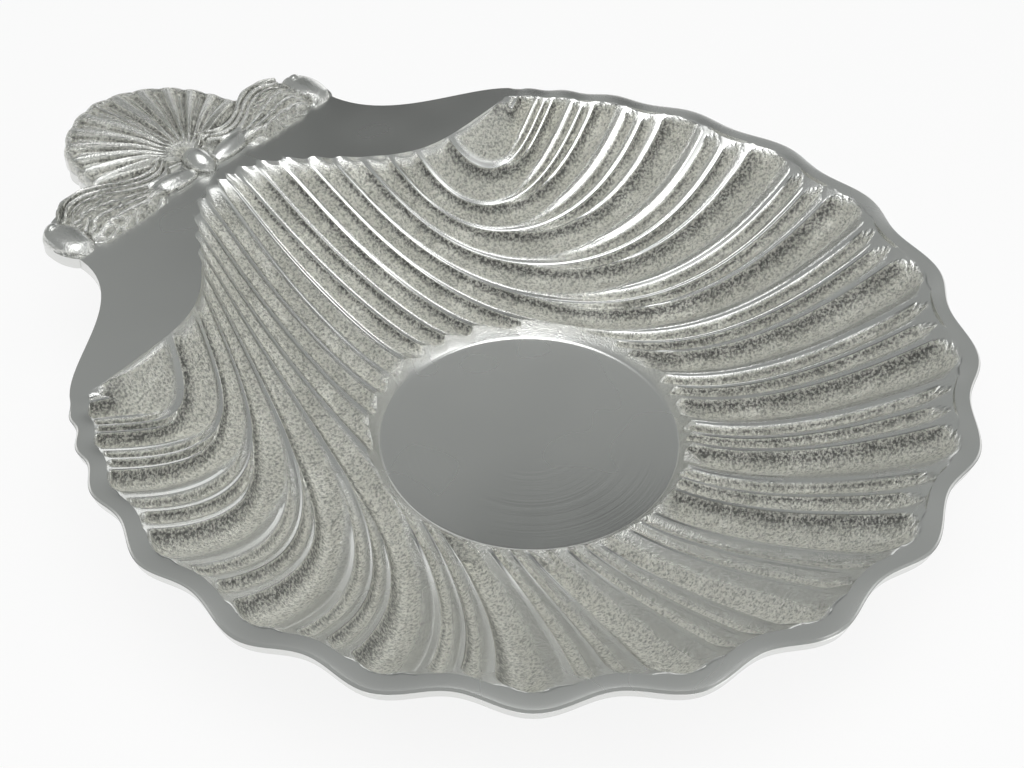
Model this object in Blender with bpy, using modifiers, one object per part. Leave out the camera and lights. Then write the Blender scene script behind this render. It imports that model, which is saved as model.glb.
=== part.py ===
"""Scallop-shell chip and dip dish: one casting with a fluted basin, a turned dip well and a shell handle.

+Z is up, +Y runs from the dip well towards the hinge of the shell, and the origin is the
middle of the flat foot under the well. All sizes are in metres.
"""

import bisect
import math

import bmesh
import bpy
from mathutils import Vector

# Fluted basin
BASIN_RADIUS = 0.1394        # rim curve at which the flutes end
BASIN_SHIFT = 0.003          # centre of that curve, towards the hinge from the dip well
BASIN_DEPTH = 0.041          # rim plane down to the bottom between the flutes
BASIN_SLOPE_WIDTH = 0.083    # plan width over which the basin rises to the rim
BASIN_SLOPE_POWER = 1.5      # how hollow that rise is
HINGE_SLOPE_WIDTH = 0.009    # how soon the basin reaches its depth below the hinge line
FLOOR_THICKNESS = 0.0038     # metal under the dip well

# Hinge line, a rounded peak between two level ear lines
EAR_LINE_Y = 0.0925
UMBO_RISE = 0.0475
UMBO_HALF_WIDTH = 0.0410
UMBO_POWER = 2.6
HINGE_SCALLOP = 0.0009       # teeth of the hinge line, one at each flute of the peak

# Flutes: rim angles and hinge-line starts, from the middle flute to the ear pocket
FLUTE_ANGLES = (0.0, 17.5, 34.5, 52.0, 69.0, 85.0, 101.0, 113.5, 121.0, 126.5)
FLUTE_STARTS = (0.0, 0.0084, 0.0159, 0.0236, 0.0302, 0.0366, 0.0442, 0.0518, 0.063, 0.0825)
FLOW_DOWN = 0.40             # how far a flute runs down from the hinge line, share of its span
FLOW_DOWN_EAR = 0.10         # added near the ears
FLOW_SIDE = 0.010            # how far it spreads sideways meanwhile
FLOW_SIDE_SHARE = 0.24       # and no more than this share of its span
FLOW_OUT = 0.39              # how far it runs out to the rim, share of its span
FLOW_TURN = 101.0            # flutes run square to the rim up to this angle, then side by side
FLUTE_DEPTH_HINGE = 0.0014
FLUTE_DEPTH_RIM = 0.0050
FLUTE_HALF = 0.25            # half of a wide flute, share of the pitch
GROOVE_DEPTH = 0.0026
GROOVE_OFFSET = 0.12         # narrow groove from the middle of the ridge, share of the pitch
GROOVE_HALF = 0.10
GROOVE_START = 0.36          # where the narrow grooves split off, share of the run
GROOVE_RUN_IN = 0.32         # run in which they gain their depth
PEAK_RUN = (0.38, 0.58)      # above this run two flutes lie side by side on the axis, below it one
END_WALL = 0.07              # run taken by the rounded end of a flute
HINGE_END = 0.03             # run in which a flute gains its depth at the hinge line

# Rim band
RIM_BAND = 0.0057
RIM_SCALLOP = 0.0025         # swing of the outline, out at each wide flute
LIP_SCALLOP = 0.0012         # swing of the basin's edge
RIM_WAVE = 0.0008            # the rim dips by this at each wide flute
RIM_CROWN = 0.0009           # middle of the band above its inner edge
RIM_FLARE = 0.0007           # outer edge above the inner one
RIM_UNDERCUT = 0.0008        # lower edge of the rim inside the upper one
RIM_THICKNESS = 0.0042
WALL = 0.0044

# Plate of the hinge, between the ears
NECK_HALF_WIDTH = 0.0640
NECK_TOP_Y = 0.147
NECK_PULL_EAR = 0.019
NECK_PULL_TOP = 0.030
SHOULDER_X = 0.0680
SHOULDER_Y = 0.162
SHOULDER_TOP_Y = 0.170
FAN_ROOT_X = 0.036
FAN_ROOT_Y = 0.1665

# Dip well and foot
WELL_FLOOR_RADIUS = 0.0513
WELL_LIP_RADIUS = 0.0556
WELL_DEPTH = 0.0052          # well floor below the bottom of the basin
WELL_FILLET = 0.0012
FOOT_RADIUS = 0.062
FOOT_HEIGHT = 0.0065
FOOT_CHAMFER = 0.0010

# Shell handle
FAN_CENTRE_Y = 0.156
FAN_HALF_WIDTH = 0.0385
FAN_REACH = 0.0540
FAN_RIBS = 13
FAN_RIB_HEIGHT = 0.0016
FAN_SCALLOP = 0.0011
FAN_RISE = 0.0045            # middle of the fan above the plate
FAN_EDGE = 0.0012            # its edge above the plate
FAN_SPREAD = 106.0           # angle from the axis to the fan's lowest rib
BOSS_LIFT = 0.0018           # middle of the bosses above the plate
BEAD_HALF = (0.0040, 0.0068, 0.0048)
BEAD_Y = 0.1535
SCROLL_RADIUS = 0.0029
SCROLL_RUN = ((0.0050, 0.1548), (0.0140, 0.1525), (0.0240, 0.1547), (0.0340, 0.1622),
              (0.0440, 0.1692), (0.0520, 0.1683))
LEAF_CENTRE = (0.0335, 0.1525)
LEAF_HALF = (0.0240, 0.0076, 0.0034)
LEAF_TURN = 10.0
CURL_CENTRE = (0.0605, 0.1560)
CURL_HALF = (0.0052, 0.0098, 0.0044)
CURL_TURN = -8.0

ROWS = (0.0, 0.015, 0.045, 0.10, 0.17, 0.25, 0.33, 0.41, 0.49, 0.57, 0.65, 0.73, 0.80,
        0.86, 0.91, 0.95, 0.982, 1.0)
UNDER_ROWS = (0.0, 0.06, 0.16, 0.29, 0.42, 0.54, 0.63, 0.72, 0.81, 0.89, 0.95, 1.0)

RIM_HEIGHT = FLOOR_THICKNESS + WELL_DEPTH + BASIN_DEPTH
CENTRE_Y = BASIN_SHIFT
EAR_X = math.sqrt(BASIN_RADIUS ** 2 - (EAR_LINE_Y - CENTRE_Y) ** 2)
EAR_ANGLE = math.degrees(math.atan2(EAR_X, CENTRE_Y - EAR_LINE_Y))
LAST = len(FLUTE_ANGLES) - 0.5


def interpolate(points, values, at):
    """Smooth reading between values given at rising points."""
    index = min(max(bisect.bisect_right(points, at) - 1, 0), len(points) - 2)
    step = points[index + 1] - points[index]
    share = (at - points[index]) / step

    def slope(i):
        low = max(i - 1, 0)
        high = min(i + 1, len(points) - 1)
        return (values[high] - values[low]) / (points[high] - points[low])

    a = values[index]
    b = values[index + 1]
    cube = share ** 3
    square = share ** 2
    return (a * (2 * cube - 3 * square + 1) + b * (3 * square - 2 * cube)
            + step * (slope(index) * (cube - 2 * square + share) + slope(index + 1) * (cube - square)))


def smooth(low, high, at):
    share = min(max((at - low) / (high - low), 0.0), 1.0)
    return share * share * (3.0 - 2.0 * share)


def hinge_line(x):
    return EAR_LINE_Y + UMBO_RISE * math.exp(-(abs(x) / UMBO_HALF_WIDTH) ** UMBO_POWER)


def hinge_gap(x, y):
    """Distance from the hinge line, positive inside the basin."""
    step = 0.0005
    slope = (hinge_line(x + step) - hinge_line(x - step)) / (2 * step)
    return (hinge_line(x) - y) / math.hypot(1.0, slope)


def basin_height(x, y):
    """Height of the basin between its flutes."""
    from_rim = BASIN_RADIUS - math.hypot(x, y - CENTRE_Y)
    rise = min(max(1.0 - from_rim / BASIN_SLOPE_WIDTH, 0.0), 1.0)
    depth = BASIN_DEPTH * (1.0 - rise ** BASIN_SLOPE_POWER)
    below = 1.0 - math.exp(-max(hinge_gap(x, y), 0.0) / HINGE_SLOPE_WIDTH)
    return RIM_HEIGHT - depth * below


def basin_normal(x, y):
    step = 0.001
    dx = (basin_height(x + step, y) - basin_height(x - step, y)) / (2 * step)
    dy = (basin_height(x, y + step) - basin_height(x, y - step)) / (2 * step)
    return Vector((-dx, -dy, 1.0)).normalized()


def pitch_points():
    """Flute numbers at which angles and starts are known, the ear's corner last."""
    return [float(i) for i in range(len(FLUTE_ANGLES))] + [LAST]


def rim_angle(s):
    return math.radians(interpolate(pitch_points(), FLUTE_ANGLES + (EAR_ANGLE,), s))


def start_x(s):
    return interpolate(pitch_points(), FLUTE_STARTS + (EAR_X,), s)


def lobe(s):
    """1 at a wide flute, -1 between two, less where the flutes are close together by the ear."""
    near = min(s, LAST - 0.5)
    pitch = (rim_angle(near + 0.5) - rim_angle(max(near - 0.5, 0.0))) / rim_angle(1.0)
    fade = min(pitch, 1.0) * (1.0 - smooth(LAST - 0.5, LAST, s))
    return math.cos(2 * math.pi * s) * (fade if s > 1.0 else 1.0)


def peak_phase(s):
    """Share of a pitch from the nearest flute of the peak, where a ridge lies on the axis."""
    return abs(s - round(s)) if s > 0.5 else 2.0 * abs(s - 0.25)


def rim_point(s, radius):
    angle = rim_angle(s)
    return Vector((radius * math.sin(angle), CENTRE_Y - radius * math.cos(angle)))


def flow_point(s, v):
    """Plan point on flow line s, from the hinge line at v = 0 to the rim at v = 1."""
    if s >= LAST - 1e-6:
        return Vector((EAR_X, EAR_LINE_Y))
    x = start_x(s)
    tooth = HINGE_SCALLOP * math.cos(2 * math.pi * peak_phase(s)) * (1.0 - smooth(3.0, 5.5, s))
    start = Vector((x, hinge_line(x) + tooth))
    end = rim_point(s, BASIN_RADIUS + LIP_SCALLOP * lobe(s))
    span = (end - start).length
    turn = min(rim_angle(s), math.radians(FLOW_TURN))
    side = min(FLOW_SIDE * smooth(0.0, 0.5, s), FLOW_SIDE_SHARE * span)
    down = (FLOW_DOWN + FLOW_DOWN_EAR * smooth(5.5, 8.0, s)) * span
    first = start + Vector((side, -down))
    second = end - FLOW_OUT * span * Vector((math.sin(turn), -math.cos(turn)))
    w = 1.0 - v
    return w ** 3 * start + 3 * w * w * v * first + 3 * w * v * v * second + v ** 3 * end


def flute_cut(s, v, grooves=True):
    """Depth of the flutes below the basin's surface."""
    end = 1.0
    if v > 1.0 - END_WALL:
        end = math.sqrt(max(1.0 - ((v - 1.0 + END_WALL) / END_WALL) ** 2, 0.0))
    end *= min(v / HINGE_END, 1.0)
    phase = abs(s - round(s))
    growth = smooth(0.05, 0.9, v)
    depth = FLUTE_DEPTH_HINGE + (FLUTE_DEPTH_RIM - FLUTE_DEPTH_HINGE) * growth
    below = smooth(PEAK_RUN[0], PEAK_RUN[1], v)
    half = 0.5 + (FLUTE_HALF - 0.5) * smooth(GROOVE_START, GROOVE_START + GROOVE_RUN_IN, v)
    hollow = below * max(1.0 - (phase / half) ** 2, 0.0)
    hollow += (1.0 - below) * max(1.0 - (peak_phase(s) / half) ** 2, 0.0)
    cut = depth * hollow
    if grooves:
        gap = abs(phase - (0.5 - GROOVE_OFFSET)) / GROOVE_HALF
        split = smooth(GROOVE_START, GROOVE_START + GROOVE_RUN_IN, v)
        cut += GROOVE_DEPTH * split * max(1.0 - gap, 0.0)
    return cut * end * (1.0 - smooth(LAST - 0.35, LAST, s))


def rim_drop(s):
    return RIM_WAVE * lobe(s)


def top_point(s, v):
    plan = flow_point(s, v)
    wave = rim_drop(s) * smooth(0.75, 1.0, v)
    height = basin_height(plan.x, plan.y) if 0.0 < v < 1.0 else RIM_HEIGHT
    return Vector((plan.x, plan.y, height - wave - flute_cut(s, v)))


def under_point(s, v):
    """The outside of the basin: the wall's thickness away, along the basin's normal."""
    plan = flow_point(s, v)
    edge = min(max(v, 0.002), 0.998)
    near = flow_point(s, edge)
    normal = basin_normal(near.x, near.y)
    height = basin_height(near.x, near.y) if 0.0 < v < 1.0 else RIM_HEIGHT
    point = Vector((plan.x, plan.y, height - flute_cut(s, v, False))) - WALL * normal
    if v <= 0.0 or v >= 1.0:
        point.z = RIM_HEIGHT - RIM_THICKNESS
    if v >= 1.0:
        point.z -= rim_drop(s)
    if s >= LAST - 1e-6:
        point = Vector((EAR_X, EAR_LINE_Y, RIM_HEIGHT - RIM_THICKNESS))
    return point


def rim_edge(s, share, lift):
    """Point of the rim band: share 0 at the basin, 1 at the outline."""
    inner = BASIN_RADIUS + LIP_SCALLOP * lobe(s)
    outer = BASIN_RADIUS + RIM_BAND + RIM_SCALLOP * lobe(s)
    plan = rim_point(s, inner + (outer - inner) * share)
    fade = 1.0 - smooth(LAST - 0.6, LAST, s)
    return Vector((plan.x, plan.y, RIM_HEIGHT - rim_drop(s) + lift * fade))


def columns(phases):
    values = []
    for number in range(len(FLUTE_ANGLES)):
        values += [number + phase for phase in phases if -1e-9 <= number + phase < LAST - 0.03]
    return sorted(set(round(value, 6) for value in values)) + [LAST]


def neck_outline():
    """Half outline of the hinge plate, from the rim's outer edge to the axis."""
    start = rim_edge(LAST, 1.0, 0.0).to_2d()
    angle = rim_angle(LAST)
    along = Vector((-math.cos(math.pi - angle), math.sin(math.pi - angle)))
    end = Vector((NECK_HALF_WIDTH, NECK_TOP_Y))
    first = start + NECK_PULL_EAR * along
    second = end + Vector((0.0, -NECK_PULL_TOP))
    points = []
    for i in range(1, 9):
        t = i / 8
        w = 1.0 - t
        points.append(w ** 3 * start + 3 * w * w * t * first + 3 * w * t * t * second + t ** 3 * end)
    shoulder_mid = (SHOULDER_X + FAN_ROOT_X) / 2
    points += [Vector((SHOULDER_X, (NECK_TOP_Y + SHOULDER_Y) / 2)),
               Vector((SHOULDER_X, SHOULDER_Y)),
               Vector((SHOULDER_X - 0.005, SHOULDER_TOP_Y)),
               Vector((shoulder_mid, SHOULDER_TOP_Y + 0.002)),
               Vector((FAN_ROOT_X + 0.006, SHOULDER_TOP_Y)),
               Vector((FAN_ROOT_X * 0.8, FAN_ROOT_Y + 0.004)),
               Vector((0.0, FAN_ROOT_Y + 0.012))]
    return points


def stitch(mesh, first, first_at, second, second_at):
    """Triangles between two rows of vertices with unlike spacing."""
    i = 0
    j = 0
    while i < len(first) - 1 or j < len(second) - 1:
        step_first = j == len(second) - 1 or (i < len(first) - 1 and first_at[i + 1] <= second_at[j + 1])
        if step_first:
            mesh.faces.new((first[i], first[i + 1], second[j]))
            i += 1
        else:
            mesh.faces.new((first[i], second[j + 1], second[j]))
            j += 1


def grid(mesh, places, rows, point):
    """Vertices of a patch, columns by rows, the last column drawn together in one vertex."""
    net = [[mesh.verts.new(point(s, v)) for v in rows] for s in places[:-1]]
    tip = mesh.verts.new(point(places[-1], rows[0]))
    net.append([tip] * len(rows))
    return net


def fill_grid(mesh, net, flip):
    for left, right in zip(net, net[1:]):
        for k in range(len(left) - 1):
            corners = [left[k], left[k + 1], right[k + 1], right[k]]
            corners = [c for n, c in enumerate(corners) if c not in corners[:n]]
            mesh.faces.new(corners[::-1] if flip else corners)


def shell_half():
    """Half of the shell, open at the plane x = 0."""
    mesh = bmesh.new()
    ridge = 0.5 - GROOVE_OFFSET
    fine = columns((-ridge - GROOVE_HALF, -ridge, -FLUTE_HALF, -0.16, 0.0, 0.16, FLUTE_HALF,
                    ridge, ridge + GROOVE_HALF))
    plain = columns((-0.25, 0.0, 0.25, 0.5))
    top = grid(mesh, fine, ROWS, top_point)
    under = grid(mesh, plain, UNDER_ROWS, under_point)
    fill_grid(mesh, top, False)
    fill_grid(mesh, under, True)

    undercut = 1.0 - RIM_UNDERCUT / RIM_BAND
    drop = Vector((0.0, 0.0, RIM_THICKNESS))
    band_mid = [mesh.verts.new(rim_edge(s, 0.55, RIM_CROWN)) for s in fine]
    band_out = [mesh.verts.new(rim_edge(s, 1.0, RIM_FLARE)) for s in fine]
    low_out = [mesh.verts.new(rim_edge(s, undercut, 0.0) - drop) for s in plain]
    inner = [column[-1] for column in top]
    low_in = [column[-1] for column in under]
    for a, b in ((inner, band_mid), (band_mid, band_out)):
        for k in range(len(fine) - 1):
            mesh.faces.new((a[k], b[k], b[k + 1], a[k + 1]))
    for k in range(len(plain) - 1):
        mesh.faces.new((low_in[k], low_in[k + 1], low_out[k + 1], low_out[k]))
    stitch(mesh, band_out, fine, low_out, plain)

    outline = neck_outline()
    high = [mesh.verts.new((p.x, p.y, RIM_HEIGHT)) for p in outline]
    low = [mesh.verts.new((p.x, p.y, RIM_HEIGHT - RIM_THICKNESS)) for p in outline]
    plate = [column[0] for column in top] + [band_mid[-1], band_out[-1]] + high
    mesh.faces.new(plate)
    base = [column[0] for column in under] + [low_out[-1]] + low
    mesh.faces.new(base[::-1])
    high = [band_out[-1]] + high
    low = [low_out[-1]] + low
    for k in range(len(high) - 1):
        mesh.faces.new((high[k], low[k], low[k + 1], high[k + 1]))
    big = [face for face in mesh.faces if len(face.verts) > 4]
    bmesh.ops.triangulate(mesh, faces=big)
    bmesh.ops.recalc_face_normals(mesh, faces=mesh.faces)
    return mesh


def new_object(name, mesh, collection):
    data = bpy.data.meshes.new(name)
    mesh.to_mesh(data)
    mesh.free()
    thing = bpy.data.objects.new(name, data)
    collection.objects.link(thing)
    return thing


def lathe(name, profile, segments, collection):
    """Closed solid turned about Z from a profile that runs along its outside, top to bottom."""
    mesh = bmesh.new()
    verts = [mesh.verts.new((radius, 0.0, height)) for radius, height in profile]
    for a, b in zip(verts, verts[1:]):
        mesh.edges.new((a, b))
    thing = new_object(name, mesh, collection)
    screw = thing.modifiers.new("turn", "SCREW")
    screw.axis = "Z"
    screw.steps = segments
    screw.render_steps = segments
    screw.use_merge_vertices = True
    screw.merge_threshold = 0.00001
    return thing


def well_cutter(collection):
    """The dip well: flat floor, fillet, flared wall, and free air above it."""
    bottom = RIM_HEIGHT - BASIN_DEPTH
    floor = bottom - WELL_DEPTH
    flare = (WELL_LIP_RADIUS - WELL_FLOOR_RADIUS) / WELL_DEPTH
    above = RIM_HEIGHT + WELL_DEPTH
    profile = ((0.0, above),
               (WELL_LIP_RADIUS + flare * 0.004, above),
               (WELL_LIP_RADIUS + flare * 0.004, bottom + 0.004),
               (WELL_FLOOR_RADIUS + flare * WELL_FILLET, floor + WELL_FILLET),
               (WELL_FLOOR_RADIUS - WELL_FILLET, floor),
               (0.0, floor))
    return lathe("well_cutter", profile, 72, collection)


def foot_solid(collection):
    profile = ((0.0, FOOT_HEIGHT),
               (FOOT_RADIUS, FOOT_HEIGHT),
               (FOOT_RADIUS, FOOT_CHAMFER),
               (FOOT_RADIUS - FOOT_CHAMFER, 0.0),
               (0.0, 0.0))
    return lathe("foot_solid", profile, 48, collection)


def fan_solid(collection):
    """Small ribbed fan that rises from the hinge plate."""
    mesh = bmesh.new()
    per_rib = 4
    across = FAN_RIBS * per_rib
    reaches = (0.12, 0.35, 0.6, 0.82, 1.0)
    floor = RIM_HEIGHT - RIM_THICKNESS * 1.05
    rows = []
    for share in reaches:
        row = []
        for i in range(across + 1):
            turn = math.radians(FAN_SPREAD) * (2 * i / across - 1)
            wave = math.cos(2 * math.pi * (i / per_rib - 0.5))
            reach = 1.0 / math.hypot(math.sin(turn) / FAN_HALF_WIDTH, math.cos(turn) / FAN_REACH)
            if abs(math.degrees(turn)) > 90:
                reach *= 0.86 + 0.14 * math.cos(math.radians((abs(math.degrees(turn)) - 90) * 4))
            reach = (reach + FAN_SCALLOP * wave) * share
            dome = FAN_EDGE + (FAN_RISE - FAN_EDGE) * math.sin(math.pi * min(share * 0.75, 1.0))
            rib = FAN_RIB_HEIGHT * wave * share
            height = RIM_HEIGHT + dome + 0.5 * rib
            row.append(mesh.verts.new((reach * math.sin(turn), FAN_CENTRE_Y + reach * math.cos(turn), height)))
        rows.append(row)
    hub = mesh.verts.new((0.0, FAN_CENTRE_Y, RIM_HEIGHT + FAN_RISE * 0.5))
    foot = [mesh.verts.new((v.co.x * 0.99, v.co.y - 0.0003, floor)) for v in rows[-1]]
    low_hub = mesh.verts.new((0.0, FAN_CENTRE_Y, floor))
    for inner, outer in zip(rows, rows[1:]):
        for k in range(across):
            mesh.faces.new((inner[k], outer[k], outer[k + 1], inner[k + 1]))
    for k in range(across):
        mesh.faces.new((hub, rows[0][k], rows[0][k + 1]))
        mesh.faces.new((rows[-1][k], foot[k], foot[k + 1], rows[-1][k + 1]))
        mesh.faces.new((low_hub, foot[k + 1], foot[k]))
    left = [hub] + [row[0] for row in rows] + [foot[0], low_hub]
    right = [low_hub, foot[-1]] + [row[-1] for row in rows[::-1]] + [hub]
    mesh.faces.new(left)
    mesh.faces.new(right)
    big = [face for face in mesh.faces if len(face.verts) > 4]
    bmesh.ops.triangulate(mesh, faces=big)
    bmesh.ops.recalc_face_normals(mesh, faces=mesh.faces)
    return new_object("fan_solid", mesh, collection)


def oval(name, centre, half, turn, collection):
    """Rounded boss with its lower part in the plate."""
    mesh = bmesh.new()
    bmesh.ops.create_uvsphere(mesh, u_segments=14, v_segments=8, radius=1.0)
    bmesh.ops.scale(mesh, vec=half, verts=mesh.verts)
    thing = new_object(name, mesh, collection)
    thing.location = (centre[0], centre[1], RIM_HEIGHT + BOSS_LIFT)
    thing.rotation_euler = (0.0, 0.0, math.radians(turn))
    return thing


def scroll(name, side, collection):
    """Wavy scroll stem that lies on the plate, from the bead to the arm's hump."""
    curve = bpy.data.curves.new(name + "_path", "CURVE")
    curve.dimensions = "3D"
    curve.bevel_depth = SCROLL_RADIUS
    curve.bevel_resolution = 1
    curve.resolution_u = 2
    curve.use_fill_caps = True
    line = curve.splines.new("BEZIER")
    line.bezier_points.add(len(SCROLL_RUN) - 1)
    for knot, (x, y) in zip(line.bezier_points, SCROLL_RUN):
        knot.co = (side * x, y, RIM_HEIGHT + SCROLL_RADIUS * 0.7)
        knot.handle_left_type = "AUTO"
        knot.handle_right_type = "AUTO"
    path = bpy.data.objects.new(name + "_path", curve)
    collection.objects.link(path)
    bpy.context.view_layer.update()
    body = bpy.data.meshes.new_from_object(path.evaluated_get(bpy.context.evaluated_depsgraph_get()))
    bpy.data.objects.remove(path)
    mesh = bmesh.new()
    mesh.from_mesh(body)
    bmesh.ops.remove_doubles(mesh, verts=mesh.verts, dist=0.00001)
    bmesh.ops.recalc_face_normals(mesh, faces=mesh.faces)
    return new_object(name, mesh, collection)


def handle_solids(collection):
    solids = [fan_solid(collection),
              oval("bead", (0.0, BEAD_Y), BEAD_HALF, 0.0, collection)]
    for side, word in ((-1, "left"), (1, "right")):
        solids.append(oval(word + "_leaf", (side * LEAF_CENTRE[0], LEAF_CENTRE[1]), LEAF_HALF,
                           side * LEAF_TURN, collection))
        solids.append(oval(word + "_curl", (side * CURL_CENTRE[0], CURL_CENTRE[1]), CURL_HALF,
                           side * CURL_TURN, collection))
        solids.append(scroll(word + "_scroll", side, collection))
    return solids


def cast_aluminium():
    material = bpy.data.materials.new("cast_aluminium")
    material.use_nodes = True
    shader = material.node_tree.nodes["Principled BSDF"]
    shader.inputs["Base Color"].default_value = (0.52, 0.53, 0.52, 1.0)
    shader.inputs["Metallic"].default_value = 1.0
    shader.inputs["Roughness"].default_value = 0.32
    return material


def boolean(body, tool, operation):
    tool.hide_render = True
    tool.display_type = "WIRE"
    step = body.modifiers.new(tool.name, "BOOLEAN")
    step.operation = operation
    step.solver = "EXACT"
    step.object = tool


def build():
    for thing in list(bpy.data.objects):
        bpy.data.objects.remove(thing)
    parts = bpy.data.collections.new("shell_dip_plate")
    tools = bpy.data.collections.new("cutters")
    bpy.context.scene.collection.children.link(parts)
    bpy.context.scene.collection.children.link(tools)

    dish = new_object("shell_dish", shell_half(), parts)
    mirror = dish.modifiers.new("other half", "MIRROR")
    mirror.use_axis = (True, False, False)
    mirror.use_clip = True
    mirror.merge_threshold = 0.00001
    boolean(dish, foot_solid(tools), "UNION")
    for solid in handle_solids(tools):
        boolean(dish, solid, "UNION")
    boolean(dish, well_cutter(tools), "DIFFERENCE")
    dish.data.materials.append(cast_aluminium())
    for face in dish.data.polygons:
        face.use_smooth = True
    dish.data.set_sharp_from_angle(angle=math.radians(35))


build()
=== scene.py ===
"""Looks of the shell-shaped chip and dip plate: one cast aluminium dish, photographed on white."""

import math

import bpy
import numpy as np
from mathutils import Matrix, Vector, kdtree


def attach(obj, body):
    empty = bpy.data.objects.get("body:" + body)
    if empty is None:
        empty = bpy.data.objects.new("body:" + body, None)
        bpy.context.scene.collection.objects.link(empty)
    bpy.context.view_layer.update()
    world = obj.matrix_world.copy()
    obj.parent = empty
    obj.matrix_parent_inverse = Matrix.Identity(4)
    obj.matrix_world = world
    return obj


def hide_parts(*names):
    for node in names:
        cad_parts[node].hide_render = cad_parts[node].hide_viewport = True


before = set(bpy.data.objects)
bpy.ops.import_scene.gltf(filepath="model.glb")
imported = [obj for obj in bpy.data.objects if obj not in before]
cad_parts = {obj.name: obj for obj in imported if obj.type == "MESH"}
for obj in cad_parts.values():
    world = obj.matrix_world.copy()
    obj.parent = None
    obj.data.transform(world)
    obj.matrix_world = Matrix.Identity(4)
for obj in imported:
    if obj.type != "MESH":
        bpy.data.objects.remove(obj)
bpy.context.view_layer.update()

# Basin, in metres; the handle lies towards +y and the foot stands on z = 0
BASIN_RADIUS = 0.1394
BASIN_SHIFT = 0.003
BASIN_DEPTH = 0.041
BASIN_SLOPE_WIDTH = 0.083
BASIN_SLOPE_POWER = 1.5
HINGE_SLOPE_WIDTH = 0.009
RIM_HEIGHT = 0.050
EAR_LINE_Y = 0.0925
UMBO_RISE = 0.0475
UMBO_HALF_WIDTH = 0.0410
UMBO_POWER = 2.6
HINGE_SCALLOP = 0.0011

# Flow lines of the flutes: turn on the rim in degrees and start on the hinge line, from the axis outwards
FLUTE_ANGLES = (0.0, 17.5, 34.5, 52.0, 69.0, 85.0, 101.0, 113.5, 121.0, 126.5)
FLUTE_STARTS = (0.0, 0.0084, 0.0159, 0.0236, 0.0302, 0.0366, 0.0442, 0.0518, 0.063, 0.0825)
FLOW_DOWN = 0.40
FLOW_DOWN_EAR = 0.10
FLOW_SIDE = 0.010
FLOW_SIDE_SHARE = 0.24
FLOW_OUT = 0.39
FLOW_TURN = 101.0

# Troughs: a wide one to each flute, with two narrow grooves between each two
FLUTE_DEPTH_HINGE = 0.0016
FLUTE_DEPTH_RIM = 0.0050
FLUTE_HALF = 0.25
GROOVE_DEPTH = 0.0028
GROOVE_OFFSET = 0.12
GROOVE_HALF = 0.10
GROOVE_START = 0.36
GROOVE_RUN_IN = 0.30
PEAK_RUN = (0.38, 0.58)
END_WALL = 0.036
WIDE_TIP = 0.016
NARROW_TIP = 0.020
HINGE_END = 0.015

# Rim band, wall, hinge plate, well and foot
RIM_BAND = 0.0057
RIM_SCALLOP = 0.0024
LIP_SCALLOP = 0.0019
RIM_WAVE = 0.0005
RIM_CROWN = 0.0001
RIM_UNDERCUT = 0.0008
RIM_THICKNESS = 0.0042
WALL = 0.0044
NECK_HALF_WIDTH = 0.0640
NECK_TOP_Y = 0.147
SHOULDER_OUT = 0.019
SHOULDER_DOWN = 0.030
WELL_FLOOR_RADIUS = 0.0513
WELL_LIP_RADIUS = 0.0556
WELL_DEPTH = 0.0052
WELL_CORNER = 0.0007
FOOT_RADIUS = 0.062
FOOT_HEIGHT = 0.0065
FOOT_CHAMFER = 0.0010

CENTRE_Y = BASIN_SHIFT
EAR_X = math.sqrt(BASIN_RADIUS ** 2 - (EAR_LINE_Y - CENTRE_Y) ** 2)
EAR_ANGLE = math.degrees(math.atan2(EAR_X, CENTRE_Y - EAR_LINE_Y))
LAST = len(FLUTE_ANGLES) - 0.5
WELL_BOTTOM = RIM_HEIGHT - BASIN_DEPTH - WELL_DEPTH
PLATE_UNDER = RIM_HEIGHT - RIM_THICKNESS
WELL_FLARE = (WELL_LIP_RADIUS - WELL_FLOOR_RADIUS) / WELL_DEPTH
FLUTE_NUMBERS = list(range(len(FLUTE_ANGLES))) + [LAST]

# Finish of the surface: 0 is buffed, 1 is cast grain, 2 is cast grain darkened with painted shade
UNDERSIDE_FINISH = 0.7
WELL_WALL_FINISH = 0.35
FOOT_FINISH = 0.15

# Share of the rim band's sheet, and of the handle's, at which its top and its edge end, and their spans
RIM_TOP_END, RIM_EDGE_END, RIM_EDGE_SPAN, RIM_BACK_SPAN = 0.6, 0.8, 0.2, 0.2
HANDLE_TOP_END, HANDLE_EDGE_END, HANDLE_EDGE_SPAN, HANDLE_BACK_SPAN = 0.86, 0.92, 0.06, 0.08

# Steps across one flute, closest at the sharp edges of the troughs, and rows along the flow lines
STEPS_UP = (0.05, 0.10, 0.15, 0.185, 0.215, 0.238, 0.25, 0.262, 0.28, 0.31, 0.345, 0.38, 0.41, 0.44, 0.465,
            0.478, 0.49)
BASIN_ROWS = np.array([0.0, 0.004, 0.010, 0.018, 0.030] + list(np.arange(0.05, 0.925, 0.0225))
                      + [0.935, 0.948, 0.957, 0.965, 0.972, 0.978, 0.984, 0.989, 0.993, 0.9965, 0.9988,
                         1.0])
UNDER_ROWS = np.array([0.0, 0.04, 0.09, 0.15, 0.22, 0.30, 0.38, 0.46, 0.54, 0.62, 0.70, 0.77, 0.84,
                       0.90, 0.95, 0.98, 1.0])
RIM_ROWS = np.array([0.0, 0.05, 0.12, 0.2, 0.3, 0.4, 0.48, 0.53, 0.565, 0.585, 0.6, 0.64, 0.72, 0.8, 1.0])
PLATE_ROWS = RIM_ROWS[:11] / RIM_TOP_END
EDGE_ROWS = np.array([0.0, 0.1, 0.3, 0.5, 1.0])

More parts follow.
